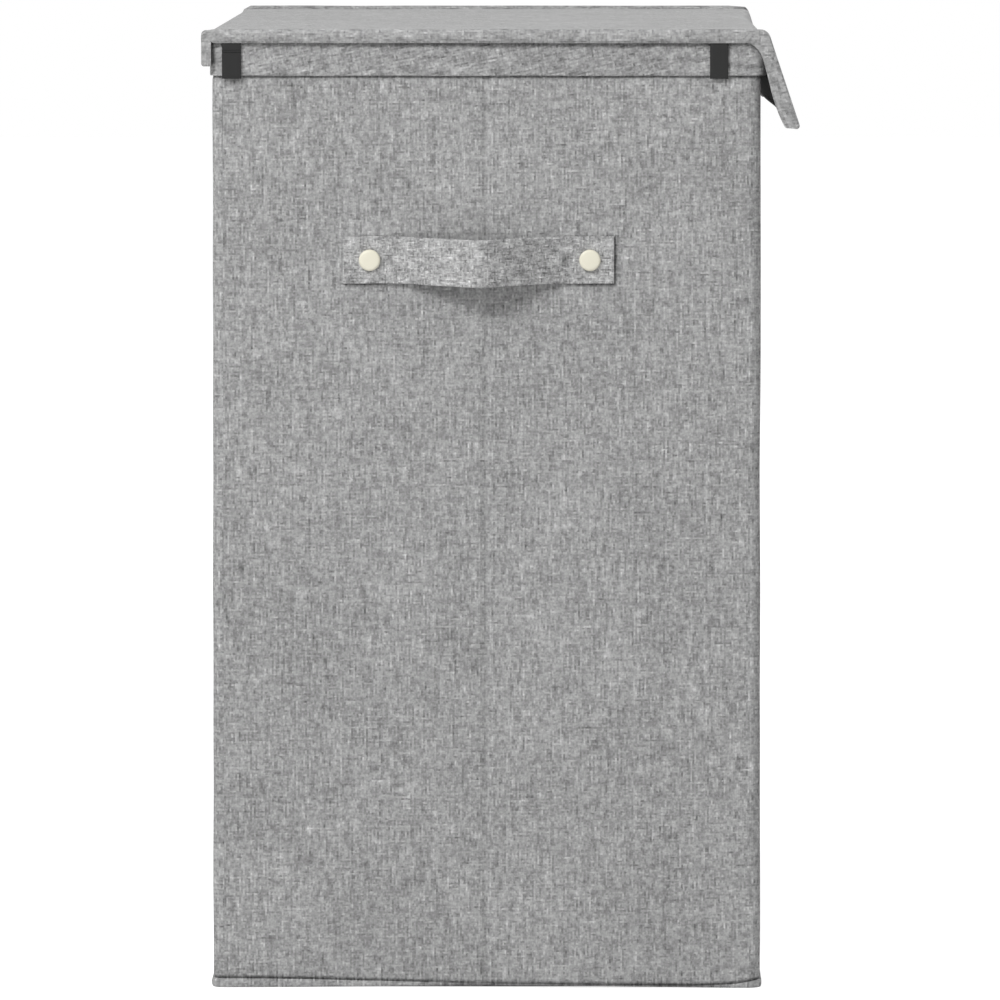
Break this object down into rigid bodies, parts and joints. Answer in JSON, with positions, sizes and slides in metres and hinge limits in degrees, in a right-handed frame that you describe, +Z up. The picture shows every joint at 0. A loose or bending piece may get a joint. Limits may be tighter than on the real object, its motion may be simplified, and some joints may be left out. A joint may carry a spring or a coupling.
{
  "type": "laundry hamper",
  "caption": "Oblong fabric laundry hamper with a hinged lid and front flap, removable bags on hooks inside, strap handles at the ends, and walls that fold flat.",
  "frame": {"origin": "middle of the underside, where the hamper stands on the floor", "axes": "+Z up; +Y along the long walls; +X towards the front wall, where the lid's flap hangs; the lid hinges along the back wall at -X"},
  "size_m": [0.3759, 0.641, 0.598],
  "materials": {
    "melange_fabric": "grey melange linen-look weave, matt",
    "band_fabric": "grey melange linen-look weave on the bias, matt",
    "lid_fabric": "fine pale grey melange weave, smooth",
    "handle_fabric": "pale grey woven strap with stitched edges",
    "black_lining": "black bonded lining, matt",
    "bag_cloth": "light polyester bag cloth",
    "bag_webbing": "grey webbing",
    "grey_board": "grey pressed board",
    "floor_board": "board covered with black bonded lining",
    "hook_plastic": "black moulded plastic, satin",
    "rivet_cap": "cream domed cap, glossy",
    "washer_steel": "zinc plated",
    "hook_tape": "black hook tape"
  },
  "bodies": {
    "back_wall": {"back_wall_cover": "melange_fabric", "back_wall_board": "grey_board", "back_wall_band": "band_fabric", "near_back_patch": "hook_tape", "far_back_patch": "hook_tape", "floor_sheet": "black_lining", "lid_back_strip": "band_fabric", "near_bag": "bag_cloth", "near_bag_back_tab": "bag_webbing", "near_bag_front_tab": "bag_webbing", "far_bag": "bag_cloth", "far_bag_front_tab": "bag_webbing", "far_bag_back_tab": "bag_webbing"},
    "front_wall": {"front_wall_cover": "melange_fabric", "front_wall_board": "grey_board", "front_wall_band": "band_fabric", "near_front_patch": "hook_tape", "far_front_patch": "hook_tape"},
    "near_rear_panel": {"near_rear_cover": "melange_fabric", "near_rear_board": "grey_board", "near_rear_band": "band_fabric", "near_rear_hook": "hook_plastic", "near_rear_rivet": "rivet_cap", "near_rear_washer": "washer_steel", "near_handle": "handle_fabric"},
    "near_front_panel": {"near_front_cover": "melange_fabric", "near_front_board": "grey_board", "near_front_band": "band_fabric", "near_front_hook": "hook_plastic", "near_front_rivet": "rivet_cap", "near_front_washer": "washer_steel"},
    "far_rear_panel": {"far_rear_cover": "melange_fabric", "far_rear_board": "grey_board", "far_rear_band": "band_fabric", "far_rear_hook": "hook_plastic", "far_rear_rivet": "rivet_cap", "far_rear_washer": "washer_steel", "far_handle": "handle_fabric"},
    "far_front_panel": {"far_front_cover": "melange_fabric", "far_front_board": "grey_board", "far_front_band": "band_fabric", "far_front_hook": "hook_plastic", "far_front_rivet": "rivet_cap", "far_front_washer": "washer_steel"},
    "rear_floor": {"rear_floor_board": "floor_board"},
    "front_floor": {"front_floor_board": "floor_board"},
    "lid": {"lid_cover": "lid_fabric", "lid_board": "grey_board", "lid_lining": "black_lining"},
    "flap": {"flap_cover": "melange_fabric", "flap_board": "grey_board", "flap_lining": "black_lining"}
  },
  "joints": [
    {"name": "fold", "type": "hinge", "parent": "near_rear_panel", "child": "near_front_panel", "pos_m": [0, -0.3016, 0.2944], "axis": [0, 0, 1], "range_deg": [-170, 0], "deforming": ["near_handle", "near_bag", "near_bag_back_tab", "near_bag_front_tab", "far_bag", "far_bag_front_tab", "far_bag_back_tab"]},
    {"name": "near_rear_corner", "type": "hinge", "parent": "back_wall", "child": "near_rear_panel", "pos_m": [-0.1598, -0.2948, 0.2944], "axis": [0, 0, 1], "range_deg": [0, 85]},
    {"name": "near_front_corner", "type": "hinge", "parent": "near_front_panel", "child": "front_wall", "pos_m": [0.1598, -0.2948, 0.2944], "axis": [0, 0, 1], "range_deg": [0, 85]},
    {"name": "far_rear_corner", "type": "hinge", "parent": "back_wall", "child": "far_rear_panel", "pos_m": [-0.1598, 0.2948, 0.2944], "axis": [0, 0, 1], "range_deg": [-85, 0]},
    {"name": "far_crease", "type": "hinge", "parent": "far_rear_panel", "child": "far_front_panel", "pos_m": [0, 0.3016, 0.2944], "axis": [0, 0, 1], "range_deg": [0, 170], "deforming": ["far_handle"]},
    {"name": "rear_floor_fold", "type": "hinge", "parent": "back_wall", "child": "rear_floor", "pos_m": [-0.1598, 0, 0.0013], "axis": [0, -1, 0], "range_deg": [0, 85]},
    {"name": "front_floor_fold", "type": "hinge", "parent": "front_wall", "child": "front_floor", "pos_m": [0.1598, 0, 0.0013], "axis": [0, 1, 0], "range_deg": [0, 85]},
    {"name": "lid_hinge", "type": "hinge", "parent": "back_wall", "child": "lid", "pos_m": [-0.1781, 0, 0.5983], "axis": [0, -1, 0], "range_deg": [0, 265]},
    {"name": "flap_hinge", "type": "hinge", "parent": "lid", "child": "flap", "pos_m": [0.1789, 0, 0.5983], "axis": [0, -1, 0], "range_deg": [-18, 72]}
  ],
  "couplings": [
    {"joint": "near_rear_corner", "follows": "fold", "ratio": -0.5},
    {"joint": "near_front_corner", "follows": "fold", "ratio": -0.5},
    {"joint": "far_rear_corner", "follows": "fold", "ratio": 0.5},
    {"joint": "far_crease", "follows": "fold", "ratio": -1},
    {"joint": "rear_floor_fold", "follows": "fold", "ratio": -0.5},
    {"joint": "front_floor_fold", "follows": "fold", "ratio": -0.5}
  ]
}
